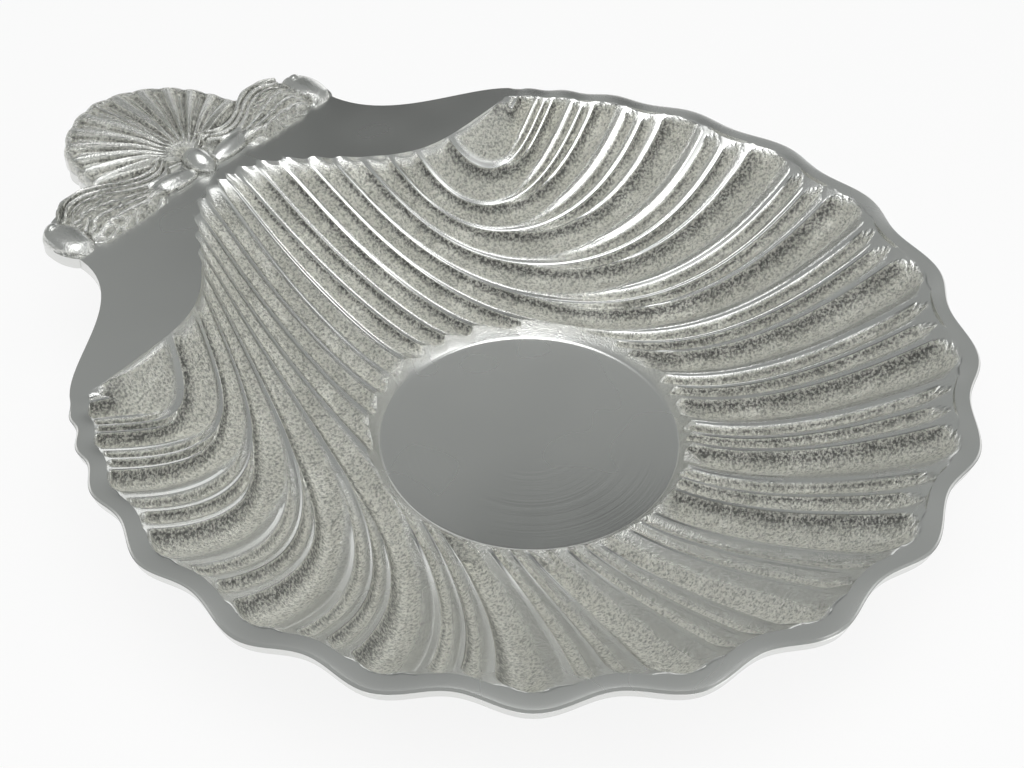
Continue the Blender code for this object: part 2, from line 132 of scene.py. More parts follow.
# Handle: a small shell between two draped arms with rolled ends
HANDLE_CENTRE = (0.0, 0.1580)
HANDLE_OUTLINE = ((-90.0, 0.0145), (-62.0, 0.0165), (-40.0, 0.0222), (-25.0, 0.0345), (-17.0, 0.0500),
                  (-12.5, 0.0640), (-8.0, 0.0672), (0.0, 0.0672), (4.5, 0.0655), (7.5, 0.0610),
                  (10.5, 0.0575), (13.0, 0.0530), (15.2, 0.0475), (16.6, 0.0420), (18.0, 0.0388),
                  (22.0, 0.0385), (32.0, 0.0398), (45.0, 0.0432), (58.0, 0.0466), (70.0, 0.0492),
                  (80.0, 0.0508), (90.0, 0.0518))
RIB_TURN = 12.0
RIB_HEIGHT = 0.00125
STRAND_HEIGHT = 0.00040
FAN_LIP = 0.0007
FOLD_HEIGHT = 0.0010
RUFFLE_HEIGHT = 0.00030
CORD_RADIUS = 0.0016
CORD_HEIGHT = 0.0046
CORD_DROP = 0.0004

# The metal: how many grains, pits and marks to a metre, how deep they look, and their colours
GRAIN_SCALE = 1000.0
PIT_SCALE = 1500.0
RUBBED_SCALE = 70.0
SWELL_SCALE = 28.0
RING_SCALE = 420.0
GRAIN_BUMP = 0.00135
SWELL_BUMP = 0.00012
RING_BUMP = 0.00010
GRAIN_ROUGHNESS = 0.28
CREASE_ANGLE = 32
BUFFED = (0.74, 0.745, 0.73, 1.0)
GRAIN_LOW = (0.42, 0.42, 0.39, 1.0)
GRAIN_HIGH = (1.0, 0.995, 0.93, 1.0)
# Colour of the painted shade in the steep walls of the troughs and the handle's deepest lines
PAINTED_SHADE = (0.15, 0.15, 0.145, 1.0)

# Studio: the white table, the pale room with one dark doorway, and the soft lamps
FLOOR_GLOW = 0.85
ROOM_COLOUR = (0.97, 1.0, 0.98, 1.0)
DARK_DOOR = Vector((0.655, 0.585, 0.475)).normalized()
LAMP_AIM = Vector((0, 0, 0.03))
LAMPS = (("overhead", (-0.32, -0.26, 1.5), 1.5, 17.0),
         ("side", (0.3, -1.5, 1.0), 0.8, 3.0),
         ("window", (1.5, 0.75, 0.30), 0.8, 1.8))

CAMERA_PLACE = Vector((-0.3158, -0.2272, 0.3953))
CAMERA_TARGET = Vector((-0.0217, -0.0083, 0.0500))
CAMERA_ROLL = 1.18
FOCAL_PIXELS = 1600.0
PHOTO_WIDTH = 1024.0


def smooth(low, high, at):
    """0 below the low mark, 1 above the high one, and a soft step between them."""
    share = np.clip((at - low) / (high - low), 0.0, 1.0)
    return share * share * (3.0 - 2.0 * share)


def read_curve(points, values, at):
    """Smooth reading between values given at rising points."""
    points = np.asarray(points, float)
    values = np.asarray(values, float)
    slopes = np.gradient(values, points, edge_order=1)
    slopes[1:-1] = (values[2:] - values[:-2]) / (points[2:] - points[:-2])
    index = np.clip(np.searchsorted(points, at, side="right") - 1, 0, len(points) - 2)
    step = points[index + 1] - points[index]
    t = (at - points[index]) / step
    cube = t ** 3
    square = t ** 2
    return (values[index] * (2 * cube - 3 * square + 1) + values[index + 1] * (3 * square - 2 * cube)
            + step * (slopes[index] * (cube - 2 * square + t) + slopes[index + 1] * (cube - square)))


def rim_angle(s):
    """Turn on the rim, from the front of the dish, of the flow line s."""
    return np.radians(read_curve(FLUTE_NUMBERS, FLUTE_ANGLES + (EAR_ANGLE,), s))


def hinge_line(x):
    """Edge between the flutes and the polished plate, arched up to the handle."""
    return EAR_LINE_Y + UMBO_RISE * np.exp(-(np.abs(x) / UMBO_HALF_WIDTH) ** UMBO_POWER)


def peak_phase(s):
    """Place within a flute of the peak, -0.5 to 0.5; a ridge lies on the axis there."""
    return np.where(s > 0.5, s - np.round(s), 2.0 * (s - 0.25))


def hinge_teeth(s):
    """Small scallops of the hinge line below the handle."""
    return HINGE_SCALLOP * np.cos(2 * np.pi * peak_phase(s)) * (1.0 - smooth(4.0, 6.5, s))


def basin_height(x, y):
    """Height of the plain basin, before the flutes are sunk into it."""
    from_rim = BASIN_RADIUS - np.hypot(x, y - CENTRE_Y)
    rise = np.clip(1.0 - from_rim / BASIN_SLOPE_WIDTH, 0.0, 1.0)
    depth = BASIN_DEPTH * (1.0 - rise ** BASIN_SLOPE_POWER)
    step = 0.0005
    slope = (hinge_line(x + step) - hinge_line(x - step)) / (2 * step)
    gap = (hinge_line(x) - y) / np.hypot(1.0, slope)
    return RIM_HEIGHT - depth * (1.0 - np.exp(-np.maximum(gap, 0.0) / HINGE_SLOPE_WIDTH))


def basin_normal(x, y):
    """Which way the plain basin faces."""
    step = 0.001
    dx = (basin_height(x + step, y) - basin_height(x - step, y)) / (2 * step)
    dy = (basin_height(x, y + step) - basin_height(x, y - step)) / (2 * step)
    length = np.sqrt(dx * dx + dy * dy + 1.0)
    return -dx / length, -dy / length, 1.0 / length


def lobe(s):
    """1 at a wide flute, -1 between two, less where the flutes are close together by the ear."""
    near = np.minimum(s, LAST - 0.5)
    pitch = (rim_angle(near + 0.5) - rim_angle(np.maximum(near - 0.5, 0.0))) / rim_angle(np.array([1.0]))[0]
    fade = np.where(s > 1.0, np.minimum(pitch, 1.0) * (1.0 - smooth(LAST - 0.5, LAST, s)), 1.0)
    return np.cos(2 * np.pi * s) * fade


def rim_plan(s, radius):
    """Where flow line s meets a circle round the basin's middle."""
    angle = rim_angle(s)
    return radius * np.sin(angle), CENTRE_Y - radius * np.cos(angle)


def flow_plan(s, v):
    """Plan of the flow lines: s counts flutes from the axis, v runs from hinge line to rim."""
    x0 = read_curve(FLUTE_NUMBERS, FLUTE_STARTS + (EAR_X,), s)
    y0 = hinge_line(x0) + hinge_teeth(s)
    x3, y3 = rim_plan(s, BASIN_RADIUS + LIP_SCALLOP * lobe(s))
    span = np.hypot(x3 - x0, y3 - y0)
    turn = np.minimum(rim_angle(s), math.radians(FLOW_TURN))
    x1 = x0 + np.minimum(FLOW_SIDE * smooth(0.0, 0.5, s), FLOW_SIDE_SHARE * span)
    y1 = y0 - (FLOW_DOWN + FLOW_DOWN_EAR * smooth(5.5, 8.0, s)) * span
    x2 = x3 - FLOW_OUT * span * np.sin(turn)
    y2 = y3 + FLOW_OUT * span * np.cos(turn)
    w = 1.0 - v
    x = w ** 3 * x0 + 3 * w * w * v * x1 + 3 * w * v * v * x2 + v ** 3 * x3
    y = w ** 3 * y0 + 3 * w * w * v * y1 + 3 * w * v * v * y2 + v ** 3 * y3
    return x, y


def trough(phase, half, lean):
    """Depth share of one trough: a soft flank on the axis side, a steep wall on the ear side."""
    q = phase / half
    low = 0.35 * lean
    soft = smooth(0.0, 1.0, (q + 1.0) / (low + 1.0))
    even = 1.0 - np.clip((low - q) / (low + 1.0), 0.0, 1.0) ** 2
    flank = even + (soft - even) * lean
    wall = 1.0 - np.clip((q - low) / (1.0 - low), 0.0, 1.0) ** 2
    inside = (q > -1.0) & (q < 1.0)
    return np.where(inside, np.where(q < low, flank, wall), 0.0), np.where(inside, q, 1.0)


def steep_shade(q):
    """Where the steep wall of a trough is darkened with painted shade."""
    return smooth(0.40, 0.85, q) * (1.0 - smooth(0.92, 0.99, q))


def closed_end(v, setback, power):
    """Share of the depth that a trough keeps towards the rim; the setback shapes its tip."""
    run = np.clip((v - 1.0 + END_WALL + setback) / END_WALL, 0.0, 1.0)
    return 1.0 - run ** power


def flutes(s, v):
    """Depth of the troughs, and their finish: 0 buffed, 1 cast grain, 2 cast grain darkened with painted
    shade.
    """
    phase = s - np.round(s)
    lean = smooth(0.3, 0.9, s) * (1.0 - 0.5 * smooth(8.0, 9.0, s))
    split = smooth(GROOVE_START, GROOVE_START + GROOVE_RUN_IN, v)
    half = 0.5 + (FLUTE_HALF - 0.5) * split
    below = smooth(PEAK_RUN[0], PEAK_RUN[1], v)
    depth = FLUTE_DEPTH_HINGE + (FLUTE_DEPTH_RIM - FLUTE_DEPTH_HINGE) * smooth(0.05, 0.9, v)
    wide, wide_q = trough(phase, half, lean)
    peak, peak_q = trough(peak_phase(s), half, np.ones_like(s))
    wide_end = closed_end(v, WIDE_TIP * wide_q ** 2, 4)
    buffed = -0.92 + 0.32 * smooth(0.45, 0.75, v)
    # Grain share of each trough, with painted shade at its steep wall added on top (values above 1)
    wide_grain_and_shade = (0.3 + 0.7 * smooth(0.0, 0.3, wide_q - buffed) + steep_shade(wide_q)) * (wide > 0.02)
    wide_grain_and_shade = wide_grain_and_shade * smooth(0.1, 0.4, wide_end)
    peak_grain_and_shade = (smooth(-0.80, -0.50, peak_q) + steep_shade(peak_q)) * (peak > 0.02)
    grain = below * wide_grain_and_shade + (1.0 - below) * peak_grain_and_shade
    narrow = np.zeros_like(s)
    for centre in (0.5 - GROOVE_OFFSET, GROOVE_OFFSET - 0.5):
        groove, groove_q = trough(phase - centre, GROOVE_HALF, lean)
        tip = closed_end(v, NARROW_TIP * np.abs(groove_q), 2)
        narrow = np.maximum(narrow, groove * tip)
        groove_grain_and_shade = 0.3 + 0.7 * smooth(-0.55, -0.1, groove_q) + steep_shade(groove_q)
        grain = np.maximum(grain, groove_grain_and_shade * (groove > 0.03) * split * smooth(0.1, 0.4, tip))
    start = np.minimum(v / HINGE_END, 1.0) ** 0.5 * (1.0 - smooth(LAST - 0.35, LAST, s))
    hollow = (below * wide * wide_end + (1.0 - below) * peak) * start
    return depth * hollow, GROOVE_DEPTH * split * narrow * start, grain * smooth(0.1, 0.45, start)


def basin_top(side, v):
    """The fluted face of the basin; side is s with the sign of x."""
    s = np.abs(side)
    x, y = flow_plan(s, v)
    wide, narrow, grain = flutes(s, v)
    wave = RIM_WAVE * lobe(s) * smooth(0.75, 1.0, v)
    inside = (v > 1e-6) & (v < 1 - 1e-6)
    height = np.where(inside, basin_height(x, y), RIM_HEIGHT)
    return x * np.sign(side), y, height - wave - wide - narrow, grain * smooth(0.0, 0.03, v)


def basin_under(side, v):
    """Underside of the basin, one wall below the wide flutes."""
    s = np.abs(side)
    x, y = flow_plan(s, v)
    near_x, near_y = flow_plan(s, np.clip(v, 0.002, 0.998))
    nx, ny, nz = basin_normal(near_x, near_y)
    wide = flutes(s, v)[0]
    inside = (v > 1e-6) & (v < 1 - 1e-6)
    height = np.where(inside, basin_height(x, y), RIM_HEIGHT)
    fade = 1.0 - smooth(LAST - 0.3, LAST, s)
    x = x - WALL * nx * fade
    y = y - WALL * ny * fade
    z = height - wide - WALL * nz
    z = np.where(inside, z, PLATE_UNDER)
    z = np.where(v >= 1 - 1e-6, PLATE_UNDER - RIM_WAVE * lobe(s), z)
    z = np.where(s >= LAST - 1e-6, PLATE_UNDER, z)
    return x * np.sign(side), y, z, np.full_like(z, UNDERSIDE_FINISH)


def neck_curve(t):
    """Right half of the hinge plate's outline, t from the ear to the axis under the handle."""
    ear_x, ear_y = rim_plan(np.array([LAST]), BASIN_RADIUS + RIM_BAND)
    start = np.array([ear_x[0], ear_y[0]])
    turn = rim_angle(np.array([LAST]))[0]
    along = np.array([math.cos(turn), math.sin(turn)])
    end = np.array([NECK_HALF_WIDTH, NECK_TOP_Y])
    first = start + SHOULDER_OUT * along
    second = end - np.array([0.0, SHOULDER_DOWN])
    u = np.linspace(0, 1, 25)[:, None]
    w = 1 - u
    bend = w ** 3 * start + 3 * w * w * u * first + 3 * w * u * u * second + u ** 3 * end
    knots = np.vstack([bend, [[0.0638, 0.1500], [0.0560, 0.1535], [0.0300, 0.1545], [0.0, 0.1545]]])
    run = np.concatenate([[0.0], np.cumsum(np.hypot(*np.diff(knots, axis=0).T))])
    return np.interp(t * run[-1], run, knots[:, 0]), np.interp(t * run[-1], run, knots[:, 1])


def plate_share(s):
    """Share of the plate's outline that faces each flow line's start."""
    return read_curve((0.0, 1.0, 2.0, 3.0, 4.0, 5.0, 6.0, 7.0, 8.0, 9.0, LAST),
                      (1.0, 0.94, 0.88, 0.82, 0.75, 0.66, 0.56, 0.45, 0.31, 0.13, 0.0), s)


def hinge_plate(side, b):
    """Top of the hinge plate, from the hinge line at b = 0 to its outline at b = 1."""
    s = np.abs(side)
    x0 = read_curve(FLUTE_NUMBERS, FLUTE_STARTS + (EAR_X,), s)
    y0 = hinge_line(x0) + hinge_teeth(s)
    x1, y1 = neck_curve(plate_share(s))
    x = x0 + (x1 - x0) * b
    y = y0 + (y1 - y0) * b
    return x * np.sign(side), y, np.full_like(x, RIM_HEIGHT), np.zeros_like(x)


def plate_edge(side, b):
    """Rounded edge of the hinge plate and its underside, b from the top edge inwards below."""
    s = np.abs(side)
    x1, y1 = neck_curve(plate_share(s))
    ux, uy = basin_under(side, np.zeros_like(side))[:2]
    ux = np.abs(ux)
    down = np.clip(b / 0.5, 0.0, 1.0)
    back = np.clip((b - 0.5) / 0.5, 0.0, 1.0)
    x = x1 + (ux - x1) * back
    y = y1 + (uy - y1) * back
    z = RIM_HEIGHT - RIM_THICKNESS * down
    return x * np.sign(side), y, z, UNDERSIDE_FINISH * back


def rim_band(side, b):
    """Rim band: its top, its rounded outer edge and the way back below it, b from the lip outwards."""
    s = np.abs(side)
    inner = BASIN_RADIUS + LIP_SCALLOP * lobe(s)
    outer = BASIN_RADIUS + RIM_BAND + RIM_SCALLOP * lobe(s)
    share = np.clip(b / RIM_TOP_END, 0.0, 1.0)
    fade = 1.0 - smooth(LAST - 0.6, LAST, s)
    crown = RIM_CROWN * np.sin(np.pi * share) * fade
    corner = 0.0008 * smooth(0.84, 1.0, share) ** 2 * fade
    down = np.clip((b - RIM_TOP_END) / RIM_EDGE_SPAN, 0.0, 1.0)
    back = np.clip((b - RIM_EDGE_END) / RIM_BACK_SPAN, 0.0, 1.0)
    tuck = down * fade * RIM_UNDERCUT / RIM_BAND
    x, y = rim_plan(s, inner + (outer - inner) * (share - tuck))
    ux, uy, uz = basin_under(side, np.ones_like(side))[:3]
    ux = np.abs(ux)
    x = x + (ux - x) * back
    y = y + (uy - y) * back
    top = RIM_HEIGHT - RIM_WAVE * lobe(s)
    low = PLATE_UNDER - RIM_WAVE * lobe(s)
    z = top + crown - corner
    z = z + (low - z) * down
    z = z + (uz - z) * back
    return x * np.sign(side), y, z, UNDERSIDE_FINISH * back


def flute_columns():
    """Flow lines of the sheets, from the left ear to the right one."""
    half = []
    for number in range(len(FLUTE_ANGLES)):
        for step in STEPS_UP:
            half += [number - step, number + step]
        half += [number, number + 0.5]
    half = sorted({round(value, 5) for value in half if 0.0 <= value < LAST - 0.015})
    half.append(LAST)
    return np.array([-value for value in half[:0:-1]] + half)


def handle_reach(turn):
    """Distance of the handle's outline from its centre; turn in degrees up from the right arm."""
    turn = np.where(turn > 90.0, 180.0 - turn, turn)
    turn = np.where(turn < -90.0, -180.0 - turn, turn)
    places = [place for place, reach in HANDLE_OUTLINE]
    reach = read_curve(places, [reach for place, reach in HANDLE_OUTLINE], turn)
    petal = np.abs(np.sin(np.pi * (90.0 - turn + 6.0) / RIB_TURN)) ** 0.8 * smooth(20.0, 34.0, turn)
    return reach + 0.0010 * petal - 0.0005


def lump(x, y, centre, half, height, turn=0.0):
    """Rounded boss: its height over a place in plan; turn in degrees."""
    c = math.cos(math.radians(turn))
    n = math.sin(math.radians(turn))
    u = ((x - centre[0]) * c + (y - centre[1]) * n) / half[0]
    w = (-(x - centre[0]) * n + (y - centre[1]) * c) / half[1]
    return height * np.sqrt(np.maximum(1.0 - u * u - w * w, 0.0))


def soft_run(points, steps=6):
    """Drawn line through a few points, rounded between them."""
    points = np.asarray(points, float)
    at = np.linspace(0, len(points) - 1, (len(points) - 1) * steps + 1)
    return np.stack([read_curve(range(len(points)), points[:, k], at) for k in (0, 1)], axis=1)


def along_run(x, y, run):
    """Distance from a drawn line, and how far along it the nearest place is."""
    near = np.full_like(x, 1.0)
    place = np.zeros_like(x)
    total = len(run) - 1
    for k in range(total):
        a = run[k]
        span = run[k + 1] - a
        t = np.clip(((x - a[0]) * span[0] + (y - a[1]) * span[1]) / (span @ span), 0.0, 1.0)
        far = np.hypot(x - a[0] - t * span[0], y - a[1] - t * span[1])
        closer = far < near
        near = np.where(closer, far, near)
        place = np.where(closer, (k + t) / total, place)
    return near, place


def cord_ridge(x, y, run, radius, height):
    """Rounded ridge along a drawn line, slimmer towards its ends."""
    far, place = along_run(x, y, run)
    thick = radius * (0.45 + 0.55 * np.sin(np.pi * np.clip(place, 0.04, 0.96)))
    return height * np.sqrt(np.maximum(1.0 - (far / thick) ** 2, 0.0))


# Drawn lines of the three cords and three folds of an arm
CORDS = [soft_run(((0.0095 + d * 0.2, 0.1632 - d), (0.0150, 0.1598 - d), (0.0215, 0.1592 - d),
                   (0.0290, 0.1622 - d), (0.0360, 0.1672 - d * 1.1), (0.0425, 0.1702 - d * 1.2),
                   (0.0490, 0.1698 - d * 1.2), (0.0545 - d * 0.4, 0.1665 - d * 1.2)))
         for d in (0.0, 0.0024, 0.0048)]
FOLDS = [soft_run(((0.0210, 0.1515 - d * 0.4), (0.0300, 0.1530 - d), (0.0400, 0.1570 - d * 1.6),
                   (0.0500, 0.1590 - d * 2.2))) for d in (0.0, 0.0028, 0.0050)]


def handle_relief(x, y):
    """Height of the handle's carving above the hinge plate."""
    x = np.abs(x)

    # Fan: a domed shell with ribs, finer strands between them and a raised lip
    dy = y - HANDLE_CENTRE[1]
    angle = np.degrees(np.arctan2(x, dy))
    edge = handle_reach(90.0 - angle)
    share = np.hypot(x, dy) / edge
    on_fan = 1.0 - smooth(70.0, 78.0, angle)
    dome = 0.0006 + 0.0036 * np.sin(np.pi * np.clip(share * 0.72 + 0.14, 0.0, 1.0))
    bend = angle + 2.5 * np.sin(share * 2.2)
    rib = np.cos(2 * np.pi * bend / RIB_TURN)
    rib = np.sign(rib) * np.abs(rib) ** 0.7
    strand = np.cos(2 * np.pi * bend / (RIB_TURN / 2) + 0.9)
    lip = FAN_LIP * smooth(0.90, 0.97, share)
    carved = smooth(0.14, 0.4, share) * (1.0 - smooth(0.90, 0.985, share))
    fan = dome + (RIB_HEIGHT * rib + STRAND_HEIGHT * strand) * carved + lip
    height = fan * on_fan * smooth(0.02, 0.15, share)

    # Arm: a draped leaf with folds and a ruffled skin
    drape = lump(x, y, (0.0385, 0.1545), (0.0200, 0.0125), 0.0034, 14)
    drape = np.maximum(drape, lump(x, y, (0.0465, 0.1560), (0.0110, 0.0118), 0.0040, 0))
    for fold in FOLDS:
        far = along_run(x, y, fold)[0]
        drape = drape + (drape > 0.0004) * FOLD_HEIGHT * np.exp(-(far / 0.0010) ** 2)
    ruffle = (RUFFLE_HEIGHT * np.sin(x * 620 + 1.8 * np.sin(y * 700))
              * np.sin(y * 1150 + 1.6 * np.sin(x * 500)))
    drape = np.where(drape > 0.0003, drape + ruffle * smooth(0.0003, 0.002, drape), drape)
    height = np.maximum(height, drape)

    # Cuff, cords and curl on the arm, and the bead in the middle
    cuff = lump(x, y, (0.0150, 0.1512), (0.0112, 0.0042), 0.0040, 8)
    height = np.maximum(height, cuff)
    for number, cord in enumerate(CORDS):
        height = np.maximum(height, cord_ridge(x, y, cord, CORD_RADIUS, CORD_HEIGHT - CORD_DROP * number))
    height = np.maximum(height, lump(x, y, (0.0108, 0.1618), (0.0036, 0.0026), 0.0044, -30))
    bead = lump(x, y, (0.0, 0.1528), (0.0050, 0.0072), 0.0062)
    height = np.maximum(height, bead)

    # Rolled end of the arm, with a groove round it and an eye
    roll = lump(x, y, (0.0600, 0.1555), (0.0068, 0.0112), 0.0040, -4) ** 0.75 * 0.0040 ** 0.25
    far = along_run(x, y, soft_run(((0.0560, 0.1655), (0.0545, 0.1560), (0.0552, 0.1465))))[0]
    roll = roll * (1.0 - 0.55 * np.exp(-(far / 0.0009) ** 2))
    eye = lump(x, y, (0.0606, 0.1618), (0.0036, 0.0030), 0.0046)
    return np.maximum(height, np.maximum(roll, eye))


def handle_finish_and_shade(x, y, relief):
    """Rubbed bright on the high parts, cast grain lower down, painted shade (values above 1) in the deepest
    lines.
    """
    step = 0.0011
    around = (handle_relief(x + step, y) + handle_relief(x - step, y)
              + handle_relief(x, y + step) + handle_relief(x, y - step)) / 4
    return np.clip(0.74 - (relief - around) * 3000.0, 0.30, 1.8)


def handle_form(turn, b):
    """The handle's skin: carved top from the centre out, rounded edge, and the way back below."""
    reach = handle_reach(turn)
    share = np.clip(b / HANDLE_TOP_END, 0.0, 1.0)
    down = np.clip((b - HANDLE_TOP_END) / HANDLE_EDGE_SPAN, 0.0, 1.0)
    back = np.clip((b - HANDLE_EDGE_END) / HANDLE_BACK_SPAN, 0.0, 1.0)
    far = reach * share * (1.0 - back)
    x = HANDLE_CENTRE[0] + far * np.cos(np.radians(turn))
    y = HANDLE_CENTRE[1] + far * np.sin(np.radians(turn))
    inner = np.hypot(x - HANDLE_CENTRE[0], y - HANDLE_CENTRE[1])
    relief = handle_relief(x, y) * np.sqrt(np.clip((reach - inner) / 0.0012, 0.0, 1.0))
    fade = smooth(0.1440, 0.1475, y)
    top = RIM_HEIGHT - 0.0002 + (relief + 0.0004) * fade
    low = PLATE_UNDER + 0.0002
    z = top + (low - top) * down
    # Cast grain, with painted shade in the carving's deepest lines
    grain = handle_finish_and_shade(x, y, handle_relief(x, y)) * smooth(0.0003, 0.0010, relief) * (down < 0.5)
    polish = np.maximum(lump(x, y, (0.0, 0.1528), (0.0054, 0.0076), 1.0),
                        np.maximum(lump(np.abs(x), y, (0.0150, 0.1512), (0.0108, 0.0040), 1.0, 8),
                                   lump(np.abs(x), y, (0.0605, 0.1555), (0.0062, 0.0102), 1.0, -4)))
    grain = grain * (1.0 - 0.85 * smooth(0.2, 0.5, polish)) + UNDERSIDE_FINISH * back
    return x, y, z, grain


def deselect():
    """Nothing selected, so that an operator acts only on what is picked after it."""
    for thing in bpy.context.selected_objects:
        thing.select_set(False)


def formed_sheet(name, columns, rows, form):
    """A flat grid whose points are moved to their places on the casting, with its finish and painted shade
    noted.
    """
    deselect()
    bpy.ops.mesh.primitive_grid_add(x_subdivisions=len(columns) - 1, y_subdivisions=len(rows) - 1, size=2.0)
    sheet = bpy.context.object
    sheet.name = name
    places = np.empty(len(sheet.data.vertices) * 3)
    sheet.data.vertices.foreach_get("co", places)
    places = places.reshape(-1, 3)
    across = np.rint((places[:, 0] + 1) / 2 * (len(columns) - 1)).astype(int)
    along = np.rint((places[:, 1] + 1) / 2 * (len(rows) - 1)).astype(int)
    x, y, z, grain = form(columns[across], rows[along])
    sheet.data.vertices.foreach_set("co", np.stack([x, y, z], axis=1).ravel())
    layer = sheet.data.attributes.new("grain", "FLOAT", "POINT")
    layer.data.foreach_set("value", grain.astype(np.float32))
    sheet.data.update()
    return sheet


def close_skin(name, sheets):
    """The sheets as one closed skin with its faces outwards."""
    deselect()
    for sheet in sheets:
        sheet.select_set(True)
    bpy.context.view_layer.objects.active = sheets[0]
    if len(sheets) > 1:
        bpy.ops.object.join()
    piece = bpy.context.view_layer.objects.active
    piece.name = name
    bpy.ops.object.mode_set(mode="EDIT")
    bpy.ops.mesh.select_all(action="SELECT")
    bpy.ops.mesh.remove_doubles(threshold=0.00001)
    bpy.ops.mesh.dissolve_degenerate(threshold=0.000001)
    bpy.ops.mesh.normals_make_consistent(inside=False)
    bpy.ops.object.mode_set(mode="OBJECT")
    return piece


def well_tool():
    """The turned dip well, as the tool that cuts it: its flared wall goes on a little above the lip."""
    deselect()
    height = 0.05
    past_lip = 0.004
    bpy.ops.mesh.primitive_cylinder_add(vertices=256, radius=WELL_FLOOR_RADIUS, depth=height,
                                        location=(0, 0, WELL_BOTTOM + height / 2))
    tool = bpy.context.object
    bpy.ops.object.transform_apply(location=True)
    above = (WELL_LIP_RADIUS + WELL_FLARE * past_lip) / WELL_FLOOR_RADIUS
    for vertex in tool.data.vertices:
        if vertex.co.z > WELL_BOTTOM + 0.01:
            vertex.co.z = WELL_BOTTOM + WELL_DEPTH + past_lip
            vertex.co.x *= above
            vertex.co.y *= above
    bevel_low_edge(tool, WELL_BOTTOM + 0.001, WELL_CORNER, 2)
    bpy.ops.object.mode_set(mode="EDIT")
    bpy.ops.mesh.select_all(action="DESELECT")
    bpy.ops.mesh.select_mode(type="FACE")
    bpy.ops.object.mode_set(mode="OBJECT")
    for face in tool.data.polygons:
        face.select = face.normal.z > 0.9
    bpy.ops.object.mode_set(mode="EDIT")
    bpy.ops.mesh.extrude_region_move(TRANSFORM_OT_translate={"value": (0, 0, height)})
    bpy.ops.mesh.select_all(action="SELECT")
    bpy.ops.mesh.normals_make_consistent(inside=False)
    bpy.ops.object.mode_set(mode="OBJECT")
    return tool


def bevel_low_edge(tool, below, width, segments):
    """Rounds the edges that lie wholly below a height."""
    bpy.ops.object.mode_set(mode="EDIT")
    bpy.ops.mesh.select_mode(type="EDGE")
    bpy.ops.mesh.select_all(action="DESELECT")
    bpy.ops.object.mode_set(mode="OBJECT")
    for edge in tool.data.edges:
        edge.select = all(tool.data.vertices[i].co.z < below for i in edge.vertices)
    bpy.ops.object.mode_set(mode="EDIT")
    bpy.ops.mesh.bevel(offset=width, segments=segments)
    bpy.ops.mesh.select_all(action="SELECT")
    bpy.ops.mesh.normals_make_consistent(inside=False)
    bpy.ops.object.mode_set(mode="OBJECT")


def foot_disc():
    """The flat foot under the well."""
    deselect()
    bpy.ops.mesh.primitive_cylinder_add(vertices=192, radius=FOOT_RADIUS, depth=FOOT_HEIGHT,
                                        location=(0, 0, FOOT_HEIGHT / 2))
    disc = bpy.context.object
    bpy.ops.object.transform_apply(location=True)
    bevel_low_edge(disc, 0.001, FOOT_CHAMFER, 3)
    return disc


def cut_or_join(body, tool, operation):
    """Adds the tool to the body or cuts it out, and takes the tool away."""
    step = body.modifiers.new(operation, "BOOLEAN")
    step.operation = operation
    step.solver = "MANIFOLD"
    step.object = tool
    deselect()
    body.select_set(True)
    bpy.context.view_layer.objects.active = body
    bpy.ops.object.modifier_apply(modifier=step.name)
    bpy.data.objects.remove(tool)


def point_places(piece):
    places = np.empty(len(piece.data.vertices) * 3)
    piece.data.vertices.foreach_get("co", places)
    return places.reshape(-1, 3)


def mark_finish(piece, places, grain):
    """Notes the finish and painted shade again after the cuts, and where the well was turned."""
    tree = kdtree.KDTree(len(places))
    for number, place in enumerate(places):
        tree.insert(place, number)
    tree.balance()
    now = point_places(piece)
    nearest = np.array([tree.find(place)[1] for place in now])
    reach = np.hypot(now[:, 0], now[:, 1])
    turned = (reach < WELL_LIP_RADIUS + 0.0030) & (now[:, 2] < WELL_BOTTOM + WELL_DEPTH + 0.0030)
    turned &= reach < WELL_FLOOR_RADIUS + WELL_FLARE * (now[:, 2] - WELL_BOTTOM) + 0.0002
    turned &= now[:, 2] > WELL_BOTTOM - 0.0002
    foot = (now[:, 2] < 0.0012) & (reach < FOOT_RADIUS + 0.0005)
    well_wall = now[:, 2] > WELL_BOTTOM + 0.0009
    values = np.where(turned, np.where(well_wall, WELL_WALL_FINISH, 0.0), grain[nearest])
    values = np.where(foot, FOOT_FINISH, values)
    for name, numbers in (("grain", values), ("turned", turned.astype(float))):
        if name in piece.data.attributes:
            piece.data.attributes.remove(piece.data.attributes[name])
        layer = piece.data.attributes.new(name, "FLOAT", "POINT")
        layer.data.foreach_set("value", numbers.astype(np.float32))


def read_values(piece, name):
    values = np.empty(len(piece.data.vertices), dtype=np.float32)
    piece.data.attributes[name].data.foreach_get("value", values)
    return values


def cast_dish():
    """Basin, rim band and hinge plate as one closed skin, with the foot joined on and the well cut."""
    columns = flute_columns()
    dish = close_skin("cast_dish", [formed_sheet("basin", columns, BASIN_ROWS, basin_top),
                                    formed_sheet("basin_under", columns, UNDER_ROWS, basin_under),
                                    formed_sheet("rim", columns, RIM_ROWS, rim_band),
                                    formed_sheet("plate", columns, PLATE_ROWS, hinge_plate),
                                    formed_sheet("plate_edge", columns, EDGE_ROWS, plate_edge)])
    places = point_places(dish)
    grain = read_values(dish, "grain")
    cut_or_join(dish, foot_disc(), "UNION")
    cut_or_join(dish, well_tool(), "DIFFERENCE")
    mark_finish(dish, places, grain)
    return dish


def handle_turns():
    """Turns round the handle's centre, close together at the notches between shell and arms."""
    right = np.concatenate([np.linspace(-90.0, -30.0, 31)[:-1], np.linspace(-30.0, -5.0, 40)[:-1],
                            np.linspace(-5.0, 10.0, 24)[:-1], np.linspace(10.0, 20.0, 40)[:-1],
                            np.linspace(20.0, 90.0, 120)])
    left = 180.0 - right[::-1]
    return np.concatenate([right, left[1:]])


